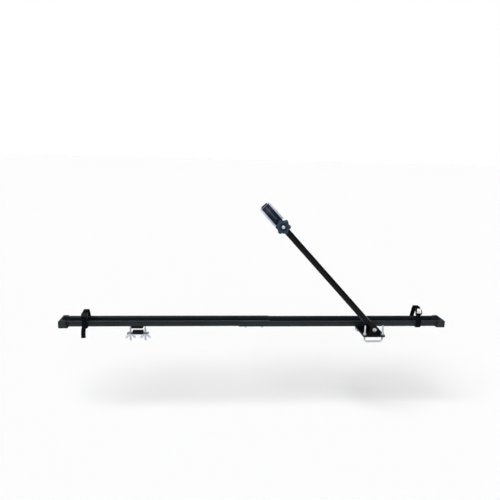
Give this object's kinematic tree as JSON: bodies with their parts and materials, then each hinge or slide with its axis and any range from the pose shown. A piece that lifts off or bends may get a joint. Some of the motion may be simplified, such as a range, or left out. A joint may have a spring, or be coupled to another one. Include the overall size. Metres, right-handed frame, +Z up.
{
  "type": "roof mounted bike carrier",
  "caption": "Roof rack bicycle carrier: a folded steel wheel rail across two roof bars, with wheel straps and a folding arm whose screw clamp grips the bike's frame.",
  "frame": {"origin": "Middle of the front roof bar's seat: the underside of the front rubber pad, under the rail's centre line.", "axes": "X runs along the rail towards its front end, Y across the rail away from the arm's side, Z up."},
  "size_m": [1.326, 0.161, 0.4819],
  "materials": {
    "rail_steel": "satin slate black powder coat",
    "arm_steel": "glossy black paint",
    "bracket_steel": "black powder coat",
    "zinc": "bright zinc plate",
    "buckle_steel": "bright pressed steel",
    "black_plastic": "fine grained black moulding",
    "clamp_plastic": "satin blue black moulding",
    "knob_plastic": "satin navy blue moulding",
    "pad_rubber": "pale blue grey rubber",
    "rubber": "matt black rubber",
    "strap": "black woven webbing"
  },
  "bodies": {
    "rail": {"rear_rail": "rail_steel", "front_rail": "rail_steel", "rear_end_cap": "black_plastic", "front_end_cap": "black_plastic", "splice_bolts": "zinc", "splice_washers": "zinc", "splice_nuts": "zinc", "rear_bar_pad": "rubber", "rear_clamp_bolts": "zinc", "front_bar_pad": "rubber", "arm_bracket": "bracket_steel", "rail_u_bolt": "zinc", "bracket_u_bolt": "zinc", "u_bolt_washers": "zinc", "u_bolt_nuts": "zinc", "pivot_bolt": "zinc", "pivot_washer": "zinc", "pivot_nut": "zinc"},
    "rear_clamp": {"rear_clamp_plate": "zinc", "rear_clamp_liner": "rubber", "rear_clamp_washers": "zinc"},
    "wing_nut_inner": {"rear_wing_nut_inner": "zinc"},
    "wing_nut_outer": {"rear_wing_nut_outer": "zinc"},
    "arm": {"arm_tube": "arm_steel", "arm_foot_plug": "black_plastic", "pivot_bush": "zinc", "head_block": "clamp_plastic", "throat_pad": "pad_rubber", "front_jaw": "clamp_plastic", "front_jaw_pad": "pad_rubber", "jaw_screws": "zinc", "knob_washer": "zinc"},
    "sliding_jaw": {"rear_jaw": "clamp_plastic", "rear_jaw_pad": "pad_rubber", "clamp_bolt": "zinc", "guide_pin": "zinc"},
    "knob": {"clamp_knob": "knob_plastic", "knob_insert": "zinc"},
    "strap_rear": {"rear_strap": "strap", "rear_buckle": "bracket_steel", "rear_buckle_pin": "bracket_steel", "rear_strap_rivet": "zinc"},
    "lever_rear": {"rear_buckle_lever": "bracket_steel"},
    "strap_front": {"front_strap": "strap", "front_buckle": "bracket_steel", "front_buckle_pin": "zinc", "front_strap_rivet": "zinc"},
    "lever_front": {"front_buckle_lever": "buckle_steel"}
  },
  "joints": [
    {"name": "arm_fold", "type": "hinge", "parent": "rail", "child": "arm", "pos_m": [0.005, -0.072, 0.018], "axis": [0, 1, 0], "range_deg": [-42, 50]},
    {"name": "knob_turn", "type": "hinge", "parent": "arm", "child": "knob", "pos_m": [-0.31145, -0.0545, 0.35735], "axis": [0, -1, 0], "range_deg": [-3960, 5760]},
    {"name": "jaw_slide", "type": "slide", "parent": "arm", "child": "sliding_jaw", "axis": [0, 1, 0], "range_m": [-0.0138, 0.0201]},
    {"name": "rear_clamp_slide", "type": "slide", "parent": "rail", "child": "rear_clamp", "axis": [0, 0, -1], "range_m": [0, 0.008]},
    {"name": "wing_inner_turn", "type": "hinge", "parent": "rear_clamp", "child": "wing_nut_inner", "pos_m": [-0.765, 0, -0.0318], "axis": [0, 0, -1], "range_deg": [-30, 2910]},
    {"name": "wing_outer_turn", "type": "hinge", "parent": "rear_clamp", "child": "wing_nut_outer", "pos_m": [-0.815, 0, -0.0318], "axis": [0, 0, -1], "range_deg": [-30, 2910]},
    {"name": "rear_strap_slide", "type": "slide", "parent": "rail", "child": "strap_rear", "axis": [1, 0, 0], "range_m": [-0.035, 0.1]},
    {"name": "rear_lever_open", "type": "hinge", "parent": "strap_rear", "child": "lever_rear", "pos_m": [-0.96, -0.03093, 0.04669], "axis": [1, 0, 0], "range_deg": [0, 100]},
    {"name": "front_strap_slide", "type": "slide", "parent": "rail", "child": "strap_front", "axis": [1, 0, 0], "range_m": [-0.11, 0.04]},
    {"name": "front_lever_open", "type": "hinge", "parent": "strap_front", "child": "lever_front", "pos_m": [0.183, -0.02835, 0.05802], "axis": [1, 0, 0], "range_deg": [0, 100]}
  ],
  "couplings": [
    {"joint": "jaw_slide", "follows": "knob_turn", "m_per_rad": 0.00019894},
    {"joint": "wing_inner_turn", "follows": "rear_clamp_slide", "rad_per_m": 6283.2},
    {"joint": "wing_outer_turn", "follows": "rear_clamp_slide", "rad_per_m": 6283.2}
  ]
}
